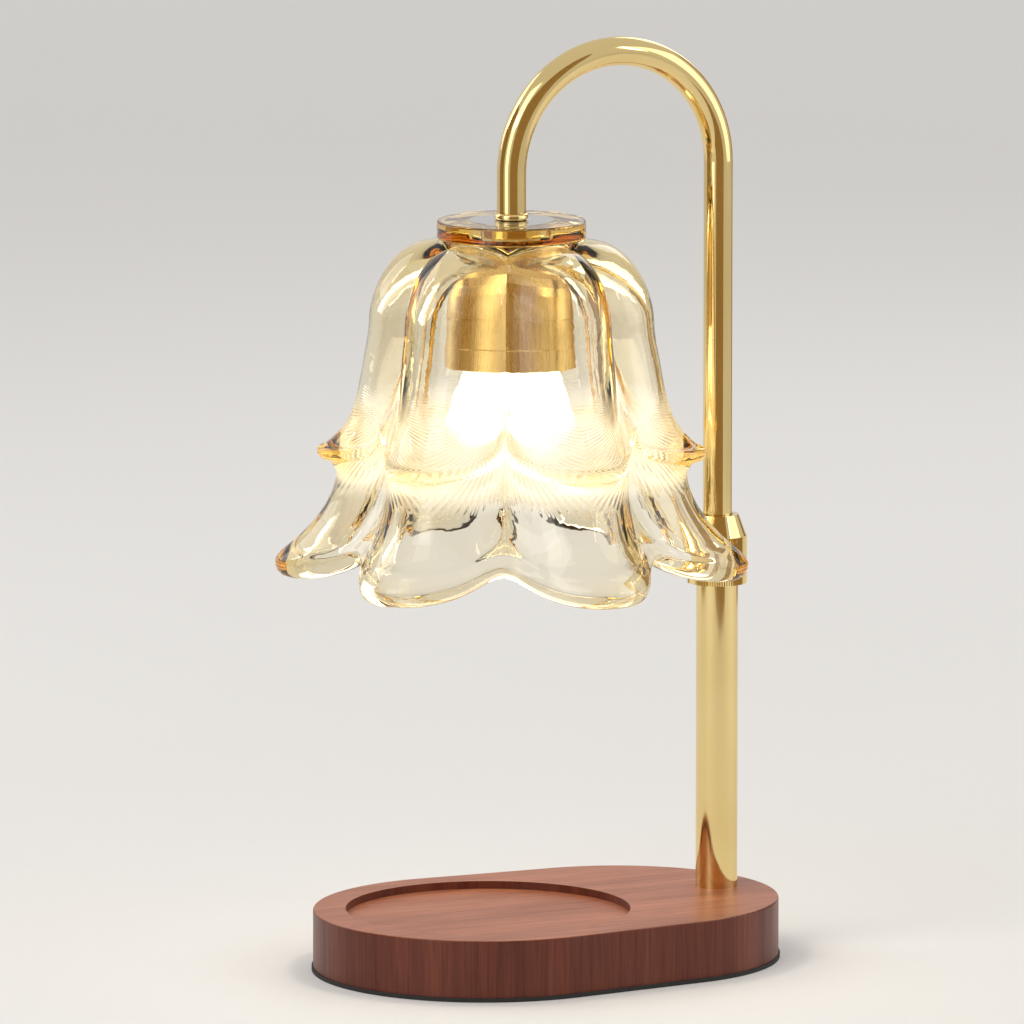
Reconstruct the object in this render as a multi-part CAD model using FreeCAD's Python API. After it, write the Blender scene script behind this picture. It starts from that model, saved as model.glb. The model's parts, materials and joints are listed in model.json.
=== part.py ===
"""Candle warmer lamp: wooden base, telescoping mast, gooseneck arm and two-tier glass flower shade."""
import FreeCAD, Part
import math
import os
from FreeCAD import Vector

# ---------------------------------------------------------------- driving dimensions, millimetres
# Base board: the hull of two circles on the X axis, the big end under the candle.
big_end_radius = 66.0
small_end_radius = 62.0
end_spacing = 57.0
board_thick = 22.0
board_edge_round = 0.7
pad_thick = 1.5
pad_margin = 0.6

candle_recess_radius = 54.5
candle_recess_depth = 3.0
candle_recess_offset = 1.1

# Steel counterweight let into the underside, and its countersunk screws.
plate_thick = 4.0
plate_big_radius = 50.0
plate_small_radius = 32.0
plate_length = 42.0
plate_clear = 0.5
plate_screw_radius = 1.7
plate_screw_length = 13.0
plate_screw_head_radius = 3.6
plate_screw_head_height = 1.9
plate_screw_circle = 41.0
plate_screw_angles = (60, 150, 210, 300)

# Mast: foot ring, hollow threaded stud, lower tube, clamp collet and knurled lock collar.
mast_offset = 100.2
lower_tube_radius = 8.1
lower_tube_wall = 1.4
foot_height = 6.3
stud_radius = 4.9
stud_bore = 3.5
stud_clear = 0.1
stud_proud = 0.5
stud_short = 1.5
tube_plug_height = 12.0
washer_radius = 11.0
washer_thick = 1.5
nut_flats = 14.0
nut_height = 5.0
wire_pocket_radius = 12.0
wire_pocket_spacing = 36.0
wire_pocket_roof = 6.0
collar_base_height = 142.3
collar_grip_height = 18.4
collar_cone_height = 8.2
collar_grip_radius = 11.4
collar_top_radius = 8.2
collar_teeth = 72
collar_tooth_depth = 0.4
collar_skirt = 3.7
thread_reduction = 0.7
thread_clear = 0.1
collar_tube_clear = 0.3
collet_wall_clear = 0.08
collet_head_height = 6.0
collet_head_land = 1.2
collet_head_clear = 0.3
collet_lip_wall = 0.8
collet_tail = 14.0
collet_slots = 4
collet_slot_width = 1.0
collet_cone_clear = 0.25

# Gooseneck arm.
arm_tube_radius = 5.6
arm_tube_wall = 1.0
arm_reach = 89.0
arch_rise = 17.4
arm_slide_fit = 0.06
raise_travel = 28.0
lower_travel = 40.0
travel_margin = 1.0
stop_sleeve_wall = 1.0
guide_length = 8.0
guide_fit = 0.09
stop_ring_height = 1.5
stop_ring_wall = 0.8
end_plug_flange = 2.0
end_plug_insert = 10.0
end_plug_bore = 3.0
axial_play = 0.12
press_clear = 0.05

# Shade fitting at the end of the arm.
bead_height = 2.7
bead_radius = 6.6
bead_seat_clear = 0.02
arm_bush_length = 14.0
nipple_radius = 3.9
nipple_bore = 2.6
nipple_clear = 0.1
nipple_short = 2.0
nipple_proud = 1.2
cap_plate_radius = 16.2
cap_plate_thick = 0.9
cap_plate_seat_clear = 0.3
cap_disc_radius = 10.8
spigot_radius = 6.3
spigot_flutes = 28
spigot_flute_depth = 0.3
spigot_stand = 0.6
glass_bore_clear = 0.5
gasket_thick = 0.8
gasket_wall = 5.0
gasket_clear = 0.2
counterbore_clear = 0.4

# Glass shade, six petals in two tiers.
petals = 6
flange_radius = 28.4
flange_top_height = 288.4
flange_thick = 7.0
flange_round = 0.9
neck_radius = 25.9
web_thick = 6.6
roof_radius = 17.0
lobe_body_radius = 54.5
valley_body_radius = 45.3
crown_depth = 42.4
crown_rise = 35.0
crown_fullness = 0.87
lobe_crown_centre = 26.0
valley_crown_centre = 24.0
valley_crown_rise = 32.2
upper_lip_radius = 74.2
upper_lip_drop = 89.1
upper_lip_round = 2.9
upper_taper = 7.4
upper_flare_power = 6
upper_cusp_radius = 56.5
upper_cusp_drop = 74.6
upper_cusp_round = 1.6
upper_cusp_taper = 3.8
root_radius = 66.9
root_drop = 96.4
root_valley_radius = 52.2
root_valley_drop = 82.4
lower_lip_radius = 90.3
lower_lip_drop = 132.2
lower_lip_round = 5.0
lower_flare_power = 1.9
lower_cleft_radius = 66.2
lower_cleft_drop = 123.8
lower_cleft_round = 4.0
lower_cleft_power = 2.2
neck_drop = 1.8
lobe_root_reach = 1.5
lobe_root_drop = 0.2
waist_drop = 2.0
# Where the lower lip's round meets the skirt outside and inside, as shares of the lip's radius.
lip_start_out = 0.3
lip_start_up = 1.09
lip_end_in = 1.13
lip_end_up = 0.5
glass_wall = 4.6
glass_valley_wall = 5.6

# How sharply a petal narrows in plan (bell) and falls in height (arch) towards its valleys.
crown_bell = 1.0
crown_arch = 1.0
upper_lip_bell = 2.6
upper_lip_arch = 0.5
root_bell = 1.2
root_arch = 0.5
lower_lip_bell = 2.5
lower_lip_arch = 2.0
inside_bell = 1.4
inside_arch = 1.0

# Socket can, lamp holder and reflector lamp.
can_radius = 25.0
can_wall = 0.8
can_top_radius = 15.0
can_shoulder = 11.0
can_height = 41.0
can_rim_height = 7.6
can_rim_stand = 0.4
can_seam_drop = 20.5
can_seam_lap = 5.0
can_seam_clear = 0.1
can_seam_gap = 0.5
holder_radius = 14.5
holder_height = 13.0
holder_stand = 5.2
holder_screw_spacing = 20.0
holder_screw_radius = 1.4
holder_screw_clear = 0.1
holder_screw_head = 2.7
holder_screw_head_height = 1.8
holder_screw_sink = 3.0
holder_head_clear = 0.3
bracket_thick = 1.2
bracket_width = 9.0
bracket_leg_radius = 3.2
can_nut_flats = 11.0
can_nut_height = 2.4
wiring_recess_depth = 2.4
wiring_recess_width = 6.0
wiring_recess_length = 13.6
contact_radius = 2.2
contact_thick = 0.5
contact_rivet_radius = 0.9
pin_spacing = 10.0
pin_radius = 1.25
pin_head_radius = 2.4
pin_head_height = 2.0
pin_length = 7.0
pin_seat_depth = 5.0
pin_head_clear = 0.4
pin_end_clear = 1.2
twist_degrees = 24.0
twist_margin = 2.0
holder_face_gap = 0.4
lamp_base_radius = 9.5
lamp_base_height = 14.0
lamp_front_radius = 24.8
lamp_reflector_height = 30.0
lamp_rim_height = 4.0
lamp_shell_wall = 1.2
lamp_lens_thick = 2.0
lamp_lens_inset = 0.4
capsule_radius = 4.2
capsule_length = 16.0
capsule_seat_depth = 6.0
capsule_clear = 0.4

# Wiring inside the lamp.
lead_radius = 1.5
core_radius = 0.7
slack_coil_radius = 4.0
slack_turns = 3.0
slack_points_per_turn = 7
terminal_length = 14.0
terminal_width = 10.0
terminal_height = 12.0
terminal_entry_depth = 4.0
terminal_entry_height = 1.8
terminal_fixing_radius = 1.2
terminal_fixing_bite = 4.0

# Cord outlet in the end of the base.
outlet_height = 6.5
grommet_bore = 2.6
grommet_neck = 4.2
grommet_flange = 5.4
grommet_flange_thick = 1.6

# ---------------------------------------------------------------- derived places
board_length = big_end_radius + end_spacing + small_end_radius
big_end_x = -board_length / 2 + big_end_radius
small_end_x = big_end_x + end_spacing
recess_x = big_end_x + candle_recess_offset
mast_x = big_end_x + mast_offset
drop_x = mast_x - arm_reach
board_bottom = pad_thick
board_top = board_bottom + board_thick
pocket_top = board_top - wire_pocket_roof

lower_tube_bore = lower_tube_radius - lower_tube_wall
foot_top = board_top + foot_height
tube_plug_top = foot_top + tube_plug_height
collar_bottom = collar_base_height
collar_shoulder = collar_bottom + collar_grip_height
collar_top = collar_shoulder + collar_cone_height
thread_radius = lower_tube_radius - thread_reduction
thread_bottom = collar_bottom + collar_skirt
lower_tube_top = collar_shoulder - collar_skirt / 4
collet_bottom = lower_tube_top - collet_tail

arm_bore = arm_tube_radius - arm_tube_wall
arch_radius = arm_reach / 2
arch_spring = flange_top_height + arch_rise
stop_ring_top = collet_bottom - raise_travel - travel_margin
stop_ring_bottom = stop_ring_top - stop_ring_height
guide_top = stop_ring_bottom - axial_play
guide_bottom = guide_top - guide_length
arm_tube_bottom = guide_bottom - axial_play
end_plug_bottom = arm_tube_bottom - end_plug_flange
stop_sleeve_top = end_plug_bottom - lower_travel - travel_margin

flange_bottom = flange_top_height - flange_thick
cap_top = flange_top_height
cap_disc_top = cap_top - cap_plate_thick
web_top = flange_top_height - flange_thick + gasket_thick
roof_height = web_top - web_thick
glass_bore = spigot_radius + glass_bore_clear
can_top = roof_height - gasket_thick
can_bottom = can_top - can_height
can_seam = can_top - can_seam_drop
bracket_top = can_top - can_wall
bracket_bottom = bracket_top - bracket_thick
holder_top = bracket_bottom - holder_stand
holder_bottom = holder_top - holder_height
track_roof = holder_bottom + pin_length + pin_end_clear
wiring_floor = holder_top - wiring_recess_depth
lamp_top = holder_bottom - holder_face_gap
lamp_neck = lamp_top - lamp_base_height
lamp_rim_top = lamp_neck - lamp_reflector_height
lamp_bottom = lamp_rim_top - lamp_rim_height
nipple_bottom = bracket_bottom - can_nut_height - nipple_proud
nipple_top = cap_top + bead_height + arm_bush_length - nipple_short
terminal_middle = wire_pocket_spacing / 2 + 1.0
terminal_near = terminal_middle - terminal_length / 2
terminal_bottom = pocket_top - terminal_height


# ---------------------------------------------------------------- geometry helpers
def cylinder(radius, bottom, top, x=0.0, y=0.0):
    return Part.makeCylinder(radius, top - bottom, Vector(x, y, bottom))


def ring(outer, inner, bottom, top, x=0.0, y=0.0):
    return cylinder(outer, bottom, top, x, y).cut(cylinder(inner, bottom - 1, top + 1, x, y))


def box(low, high):
    size = [high[i] - low[i] for i in range(3)]
    return Part.makeBox(size[0], size[1], size[2], Vector(*low))


def revolve(outline, x=0.0):
    """Turn a closed outline of (radius, height) points about the vertical axis at x."""
    points = [Vector(x + radius, 0, height) for radius, height in outline]
    face = Part.Face(Part.makePolygon(points + points[:1]))
    return face.revolve(Vector(x, 0, 0), Vector(0, 0, 1), 360)


def hex_prism(flats, bottom, top, x=0.0):
    corner = flats / math.sqrt(3)
    points = []
    for i in range(7):
        turn = math.radians(60 * i)
        points.append(Vector(x + corner * math.cos(turn), corner * math.sin(turn), bottom))
    return Part.Face(Part.makePolygon(points)).extrude(Vector(0, 0, top - bottom))


def toothed_bar(radius, depth, count, bottom, top, x=0.0):
    """A straight-knurled bar: sharp ridges at the radius, grooves of the given depth."""
    points = []
    for i in range(2 * count + 1):
        reach = radius if i % 2 == 0 else radius - depth
        turn = math.pi * i / count
        points.append(Vector(x + reach * math.cos(turn), reach * math.sin(turn), bottom))
    return Part.Face(Part.makePolygon(points)).extrude(Vector(0, 0, top - bottom))


def round_hull(radius_a, radius_b, x_a, x_b, bottom, top):
    """The upright prism whose plan is the tangent hull of two circles on the X axis."""
    lean = math.acos((radius_a - radius_b) / (x_b - x_a))
    side = Vector(math.cos(lean), math.sin(lean), 0)
    mirror = Vector(side.x, -side.y, 0)
    centre_a = Vector(x_a, 0, bottom)
    centre_b = Vector(x_b, 0, bottom)
    a_up, a_down = centre_a + side * radius_a, centre_a + mirror * radius_a
    b_up, b_down = centre_b + side * radius_b, centre_b + mirror * radius_b
    edges = [
        Part.Arc(a_up, centre_a - Vector(radius_a, 0, 0), a_down).toShape(),
        Part.LineSegment(a_down, b_down).toShape(),
        Part.Arc(b_down, centre_b + Vector(radius_b, 0, 0), b_up).toShape(),
        Part.LineSegment(b_up, a_up).toShape(),
    ]
    return Part.Face(Part.Wire(edges)).extrude(Vector(0, 0, top - bottom))


def slot_prism(radius, spacing, bottom, top, x):
    """An upright slot along Y with round ends."""
    half = spacing / 2
    body = box((x - radius, -half, bottom), (x + radius, half, top))
    ends = [cylinder(radius, bottom, top, x, y) for y in (-half, half)]
    return body.fuse(ends).removeSplitter()


def sweep(path_edges, radius, start, direction):
    """A round solid swept along straight runs and tangent arcs."""
    path = Part.Wire(path_edges)
    section = Part.Wire([Part.Circle(start, direction, radius).toShape()])
    return path.makePipeShell([section], True, False)


def rounded_route(points, share=0.45):
    """Straight runs joined by tangent arcs; each arc is as large as its two runs allow."""
    edges = []
    here = points[0]
    for i in range(1, len(points) - 1):
        before = points[i] - points[i - 1]
        after = points[i + 1] - points[i]
        turn = before.getAngle(after)
        trim = share * min(before.Length, after.Length)
        into = points[i] - Vector(before).normalize() * trim
        out = points[i] + Vector(after).normalize() * trim
        bisector = (Vector(after).normalize() - Vector(before).normalize()).normalize()
        radius = trim / math.tan(turn / 2)
        middle = points[i] + bisector * (radius / math.cos(turn / 2) - radius)
        edges.append(Part.LineSegment(here, into).toShape())
        edges.append(Part.Arc(into, middle, out).toShape())
        here = out
    edges.append(Part.LineSegment(here, points[-1]).toShape())
    return edges


# ---------------------------------------------------------------- base
def board_hull(margin, bottom, top):
    return round_hull(big_end_radius + margin, small_end_radius + margin, big_end_x, small_end_x, bottom, top)


def plate_hull(margin, bottom, top):
    return round_hull(plate_big_radius + margin, plate_small_radius + margin,
                      big_end_x, big_end_x + plate_length, bottom, top)


def plate_screw_places():
    return [(big_end_x + plate_screw_circle * math.cos(math.radians(angle)),
             plate_screw_circle * math.sin(math.radians(angle))) for angle in plate_screw_angles]


def plate_screw(x, y, extra=0.0):
    shank = cylinder(plate_screw_radius + extra, board_bottom, board_bottom + plate_screw_length, x, y)
    head = Part.makeCone(plate_screw_head_radius + extra, plate_screw_radius + extra, plate_screw_head_height,
                         Vector(x, y, board_bottom))
    return shank.fuse(head).removeSplitter()


def outlet_cylinder(radius, start, end):
    """A cylinder along the cord outlet's axis, from one X place to another."""
    centre = Vector(start, 0, board_bottom + outlet_height)
    return Part.makeCylinder(radius, end - start, centre, Vector(1, 0, 0))


def base_board():
    board = board_hull(0, board_bottom, board_top)
    rim = [edge for edge in board.Edges if abs(edge.BoundBox.ZMin - board_top) < 0.01
           and abs(edge.BoundBox.ZMax - board_top) < 0.01]
    board = board.makeFillet(board_edge_round, rim)
    recess_floor = board_top - candle_recess_depth
    board = board.cut(cylinder(candle_recess_radius, recess_floor, board_top + 1, recess_x))
    board = board.cut(plate_hull(plate_clear, board_bottom - 1, board_bottom + plate_thick))
    pocket = slot_prism(wire_pocket_radius, wire_pocket_spacing, board_bottom - 1, pocket_top, mast_x)
    board = board.cut(pocket)
    board = board.cut(cylinder(stud_radius + stud_clear, pocket_top - 1, board_top + 1, mast_x))
    board = board.cut(outlet_cylinder(grommet_neck + stud_clear, mast_x, board_length))
    holes = [cylinder(plate_screw_radius, board_bottom, board_bottom + plate_screw_length, x, y)
             for x, y in plate_screw_places()]
    holes.append(cylinder(terminal_fixing_radius, pocket_top - 1, pocket_top + terminal_fixing_bite, mast_x,
                          terminal_middle))
    return board.cut(Part.makeCompound(holes))


def base_pad():
    return board_hull(pad_margin, 0, pad_thick)


def weight_plate():
    plate = plate_hull(0, board_bottom, board_bottom + plate_thick)
    return plate.cut(Part.makeCompound([plate_screw(x, y, stud_clear) for x, y in plate_screw_places()]))


def plate_screws():
    return Part.makeCompound([plate_screw(x, y) for x, y in plate_screw_places()])


def cord_grommet():
    outer_face = small_end_x + small_end_radius
    inner_face = mast_x + wire_pocket_radius
    neck = outlet_cylinder(grommet_neck, inner_face, outer_face)
    flange = outlet_cylinder(grommet_flange, outer_face, outer_face + grommet_flange_thick)
    return neck.fuse(flange).cut(outlet_cylinder(grommet_bore, mast_x, board_length)).removeSplitter()


# ---------------------------------------------------------------- mast
def mast_foot():
    return ring(lower_tube_radius, stud_radius + stud_clear, board_top, foot_top, mast_x)


def mast_stud():
    bottom = pocket_top - washer_thick - nut_height - stud_proud
    return ring(stud_radius, stud_bore, bottom, tube_plug_top - stud_short, mast_x)


def mast_washer():
    return ring(washer_radius, stud_radius + stud_clear, pocket_top - washer_thick, pocket_top, mast_x)


def mast_nut():
    top = pocket_top - washer_thick
    return hex_prism(nut_flats, top - nut_height, top, mast_x).cut(
        cylinder(stud_radius + stud_clear, top - nut_height - 1, top + 1, mast_x))


def tube_plug():
    return ring(lower_tube_bore - guide_fit, stud_radius + stud_clear, foot_top, tube_plug_top, mast_x)


def lower_tube():
    outline = [(lower_tube_bore, foot_top), (lower_tube_radius, foot_top), (lower_tube_radius, thread_bottom),
               (thread_radius, thread_bottom), (thread_radius, lower_tube_top),
               (lower_tube_bore, lower_tube_top)]
    return revolve(outline, mast_x)


def clamp_collet():
    inner = arm_tube_radius + arm_slide_fit
    tail = lower_tube_bore - collet_wall_clear
    head = thread_radius - collet_head_clear
    head_top = lower_tube_top + collet_head_height
    land_top = lower_tube_top + collet_head_land
    outline = [(inner, collet_bottom), (tail, collet_bottom), (tail, lower_tube_top), (head, lower_tube_top),
               (head, land_top), (inner + collet_lip_wall, head_top), (inner, head_top)]
    collet = revolve(outline, mast_x)
    slit_bottom = collet_bottom + collet_tail / 2
    for i in range(collet_slots):
        slit = Part.makeBox(2 * lower_tube_radius, collet_slot_width, head_top - slit_bottom + 1,
                            Vector(0, -collet_slot_width / 2, slit_bottom))
        slit.rotate(Vector(0, 0, 0), Vector(0, 0, 1), 45 + 360 * i / collet_slots)
        slit.translate(Vector(mast_x, 0, 0))
        collet = collet.cut(slit)
    return collet


def lock_collar():
    grip = toothed_bar(collar_grip_radius, collar_tooth_depth, collar_teeth, collar_bottom, collar_shoulder,
                       mast_x)
    cone = Part.makeCone(collar_grip_radius - collar_tooth_depth / 2, collar_top_radius, collar_cone_height,
                         Vector(mast_x, 0, collar_shoulder))
    cone_bottom = lower_tube_top + collet_head_land + collet_cone_clear
    cone_top = lower_tube_top + collet_head_height + collet_cone_clear
    cone_mouth = arm_tube_radius + arm_slide_fit + collet_lip_wall + collet_cone_clear
    skirt_bore = lower_tube_radius + collar_tube_clear
    thread_bore = thread_radius + thread_clear
    arm_hole = arm_tube_radius + collar_tube_clear
    cavity = [(0, collar_bottom - 1), (skirt_bore, collar_bottom - 1), (skirt_bore, thread_bottom),
              (thread_bore, thread_bottom), (thread_bore, cone_bottom), (cone_mouth, cone_top),
              (arm_hole, cone_top), (arm_hole, collar_top + 1), (0, collar_top + 1)]
    return grip.fuse(cone).cut(revolve(cavity, mast_x))


# ---------------------------------------------------------------- gooseneck arm
def arm_path(bottom, end):
    """The arm's centre line: up the mast, over the half-round arch and down to the shade."""
    foot = Vector(mast_x, 0, bottom)
    rise = Vector(mast_x, 0, arch_spring)
    crown = Vector(mast_x - arch_radius, 0, arch_spring + arch_radius)
    fall = Vector(drop_x, 0, arch_spring)
    return [Part.LineSegment(foot, rise).toShape(), Part.Arc(rise, crown, fall).toShape(),
            Part.LineSegment(fall, Vector(drop_x, 0, end)).toShape()]


def arm_tube():
    end = cap_top + bead_height / 2
    up = Vector(0, 0, 1)
    outer = sweep(arm_path(arm_tube_bottom, end), arm_tube_radius, Vector(mast_x, 0, arm_tube_bottom), up)
    inner = sweep(arm_path(arm_tube_bottom, end), arm_bore, Vector(mast_x, 0, arm_tube_bottom), up)
    return outer.cut(inner)


def guide_bush():
    return ring(lower_tube_bore - guide_fit, arm_tube_radius + arm_slide_fit, guide_bottom, guide_top, mast_x)


def stop_ring():
    return ring(arm_tube_radius + stop_ring_wall, arm_tube_radius, stop_ring_bottom, stop_ring_top, mast_x)


def tube_end_plug():
    flange = arm_tube_radius + stop_ring_wall
    insert = arm_bore - press_clear
    outline = [(end_plug_bore, end_plug_bottom), (flange, end_plug_bottom), (flange, arm_tube_bottom),
               (insert, arm_tube_bottom), (insert, arm_tube_bottom + end_plug_insert),
               (end_plug_bore, arm_tube_bottom + end_plug_insert)]
    return revolve(outline, mast_x)


def stop_sleeve():
    """Spacer on the tube plug; the arm's end plug meets its top when the lamp is fully lowered."""
    outer = lower_tube_bore - guide_fit
    return ring(outer, outer - stop_sleeve_wall, tube_plug_top, stop_sleeve_top, mast_x)


# ---------------------------------------------------------------- shade fitting
def arm_bush():
    bottom = cap_top + bead_height / 2
    return ring(arm_bore - press_clear, nipple_radius + press_clear, bottom, bottom + arm_bush_length, drop_x)


def drop_bead():
    """A rounded bead that the tube end stands in; its seat is half the bead deep."""
    half = bead_height / 2
    bead = cylinder(bead_radius, cap_top, cap_top + bead_height, drop_x)
    rims = [edge for edge in bead.Edges if len(edge.Vertexes) == 1]
    bead = bead.makeFillet(half - bead_seat_clear, rims)
    hole = cylinder(nipple_radius + nipple_clear, cap_top - 1, cap_top + half, drop_x)
    seat = cylinder(arm_tube_radius + bead_seat_clear, cap_top + half, cap_top + bead_height + 1, drop_x)
    return bead.cut(hole).cut(seat)


def cap_plate():
    """Round plate flush with the top of the glass, between the bead and the cap disc."""
    return ring(cap_plate_radius, nipple_radius + nipple_clear, cap_disc_top, cap_top, drop_x)


def cap_disc():
    disc = cylinder(cap_disc_radius, web_top + gasket_thick, cap_disc_top, drop_x)
    spigot = toothed_bar(spigot_radius, spigot_flute_depth, spigot_flutes, roof_height + spigot_stand,
                         web_top + gasket_thick, drop_x)
    bore = cylinder(nipple_radius + nipple_clear, roof_height, cap_disc_top + 1, drop_x)
    return disc.fuse(spigot).cut(bore)


def cap_gasket():
    return ring(cap_disc_radius, spigot_radius + gasket_clear, web_top, web_top + gasket_thick, drop_x)


def roof_gasket():
    return ring(glass_bore + gasket_wall, glass_bore, can_top, roof_height, drop_x)


def shade_nipple():
    return ring(nipple_radius, nipple_bore, nipple_bottom, nipple_top, drop_x)


# ---------------------------------------------------------------- glass shade
def mix(a, b, t):
    return a + (b - a) * t


def crown_stations(shoulder):
    """Down the neck from the flange's underside, then full quarter ovals to the shoulder."""
    stations = [(neck_radius, flange_bottom, neck_radius, flange_bottom, crown_bell, crown_arch),
                (neck_radius + lobe_root_reach, flange_bottom - lobe_root_drop,
                 neck_radius, flange_bottom - neck_drop, crown_bell, crown_arch)]
    for degrees in (6, 18, 31, 44, 57, 70, 80):
        angle = math.radians(degrees)
        across = math.sin(angle) ** crown_fullness
        reach_lobe = (lobe_body_radius - lobe_crown_centre) * across
        reach_valley = (valley_body_radius - valley_crown_centre) * across
        stations.append((lobe_crown_centre + reach_lobe, shoulder + crown_rise * math.cos(angle),
                         valley_crown_centre + reach_valley, shoulder + valley_crown_rise * math.cos(angle),
                         crown_bell, crown_arch))
    return stations


def upper_skirt_stations(shoulder, lip, lip_height, cusp, cusp_height):
    """Nearly straight down from the shoulder, then a quick flare to the upper lip."""
    stations = []
    for t in (0.0, 0.2, 0.4, 0.58, 0.73, 0.85, 0.94, 1.0):
        flare = t ** upper_flare_power
        lobe = lobe_body_radius + upper_taper * t
        lobe += (lip - lobe_body_radius - upper_taper) * flare
        valley = valley_body_radius + upper_cusp_taper * t
        valley += (cusp - valley_body_radius - upper_cusp_taper) * flare
        stations.append((lobe, mix(shoulder, lip_height, t), valley, mix(shoulder, cusp_height, t),
                         mix(crown_bell, upper_lip_bell, t ** 3), mix(crown_arch, upper_lip_arch, t ** 2)))
    return stations


def lip_stations(lip, height, lip_round, cleft, cleft_height, cleft_round, turns, bell, arch):
    """Round a lip: its section is part of a circle, smaller at the valley than at the petal's tip."""
    stations = []
    for degrees in turns:
        across = math.cos(math.radians(degrees))
        up = math.sin(math.radians(degrees))
        stations.append((lip + lip_round * across, height + lip_round * up,
                         cleft + cleft_round * across, cleft_height + cleft_round * up, bell, arch))
    return stations


def lower_skirt_stations(start, end, shares, bells, arches):
    """A steady flare between two (lobe radius, lobe height, valley radius, valley height) stations."""
    stations = []
    for t in shares:
        stations.append((mix(start[0], end[0], t ** lower_flare_power), mix(start[1], end[1], t),
                         mix(start[2], end[2], t ** lower_cleft_power), mix(start[3], end[3], t),
                         mix(bells[0], bells[1], t), mix(arches[0], arches[1], t)))
    return stations


def inner_crown_stations(shoulder, inner_lobe, inner_valley):
    """Inside of the crown, up to the flat roof round the bore."""
    rise = roof_height - shoulder
    stations = []
    for degrees in (76, 62, 48, 34, 20, 8, 0):
        across = math.sin(math.radians(degrees))
        height = shoulder + rise * math.cos(math.radians(degrees))
        stations.append((mix(roof_radius, inner_lobe, across), height,
                         mix(roof_radius, inner_valley, across), height, inside_bell, inside_arch))
    return stations


def meridians():
    """Stations down the outside of the shade, round both lips and up the inside.

    Each station is (lobe radius, lobe height, valley radius, valley height, bell, arch): a petal's
    middle, the valley between two petals, and how sharply the petal falls away in plan and in height.
    """
    top = flange_top_height
    shoulder = top - crown_depth
    stations = crown_stations(shoulder)

    lip, lip_height = upper_lip_radius - upper_lip_round, top - upper_lip_drop
    cusp, cusp_height = upper_cusp_radius - upper_cusp_round, top - upper_cusp_drop
    stations += upper_skirt_stations(shoulder, lip, lip_height + upper_lip_round,
                                     cusp, cusp_height + upper_cusp_round)
    stations += lip_stations(lip, lip_height, upper_lip_round, cusp, cusp_height, upper_cusp_round,
                             (45, 0, -45, -90), upper_lip_bell, upper_lip_arch)

    # Underside of the upper lip, back to the root of the lower tier.
    root = (root_radius, top - root_drop, root_valley_radius, top - root_valley_drop)
    for t in (0.45, 0.8, 1.0):
        stations.append((mix(lip, root[0], t), mix(lip_height - upper_lip_round, root[1], t ** 2),
                         mix(cusp, root[2], t), mix(cusp_height - upper_cusp_round, root[3], t ** 2),
                         mix(upper_lip_bell, root_bell, t), root_arch))

    # Outside of the lower tier and its thick lip.
    tip, tip_height = lower_lip_radius - lower_lip_round, top - lower_lip_drop
    cleft, cleft_height = lower_cleft_radius - lower_cleft_round, top - lower_cleft_drop
    outer_end = (tip + lip_start_out * lower_lip_round, tip_height + lip_start_up * lower_lip_round,
                 cleft + lip_start_out * lower_cleft_round, cleft_height + lip_start_up * lower_cleft_round)
    stations += lower_skirt_stations(root, outer_end, (0.15, 0.3, 0.45, 0.6, 0.75, 0.88, 1.0),
                                     (root_bell, lower_lip_bell), (root_arch, lower_lip_arch))
    stations += lip_stations(tip, tip_height, lower_lip_round, cleft, cleft_height, lower_cleft_round,
                             (25, 0, -30, -60, -90, -125), lower_lip_bell, lower_lip_arch)

    # Inside of the lower tier, back up to the waist.
    waist_height = root[1] - waist_drop
    waist = (root_radius - glass_wall, waist_height, root_valley_radius - glass_valley_wall, waist_height)
    inner_end = (tip - lip_end_in * lower_lip_round, tip_height + lip_end_up * lower_lip_round,
                 cleft - lip_end_in * lower_cleft_round, cleft_height + lip_end_up * lower_cleft_round)
    stations += lower_skirt_stations(waist, inner_end, (1.0, 0.86, 0.7, 0.54, 0.36, 0.18, 0.0),
                                     (inside_bell, lower_lip_bell), (inside_arch, lower_lip_arch))

    # Inside of the upper tier and the crown.
    inner_lobe = lobe_body_radius - glass_wall
    inner_valley = valley_body_radius - glass_valley_wall
    for t in (0.3, 0.55, 0.78, 1.0):
        height = mix(waist_height, shoulder, t)
        stations.append((mix(waist[0], inner_lobe, t), height, mix(waist[2], inner_valley, t), height,
                         inside_bell, inside_arch))
    return stations + inner_crown_stations(shoulder, inner_lobe, inner_valley)


def petal_grid(middle_angle, across=9):
    """Points of one petal from valley to valley, closer together towards the valleys."""
    half_turn = math.pi / petals
    grid = []
    for i in range(2 * across - 1):
        spread = math.sin(math.pi / 2 * (i - across + 1) / (across - 1))
        angle = middle_angle + half_turn * spread
        closeness = abs(spread)
        line = []
        for lobe_r, lobe_z, valley_r, valley_z, bell, arch in meridians():
            plan = max(0.0, 1 - closeness ** 2) ** bell
            rise = max(0.0, 1 - closeness ** 3) ** arch
            radius = mix(valley_r, lobe_r, plan)
            height = mix(valley_z, lobe_z, rise)
            line.append(Vector(radius * math.cos(angle), radius * math.sin(angle), height))
        grid.append(line)
    return grid


def chord_parameters(lines):
    """One set of parameters for all the lines: the mean share of their length at each point."""
    count = len(lines[0])
    total = [0.0] * count
    for line in lines:
        run = [0.0]
        for a, b in zip(line, line[1:]):
            run.append(run[-1] + (b - a).Length ** 0.6)
        total = [total[i] + run[i] / run[-1] for i in range(count)]
    return [value / len(lines) for value in total]


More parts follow.
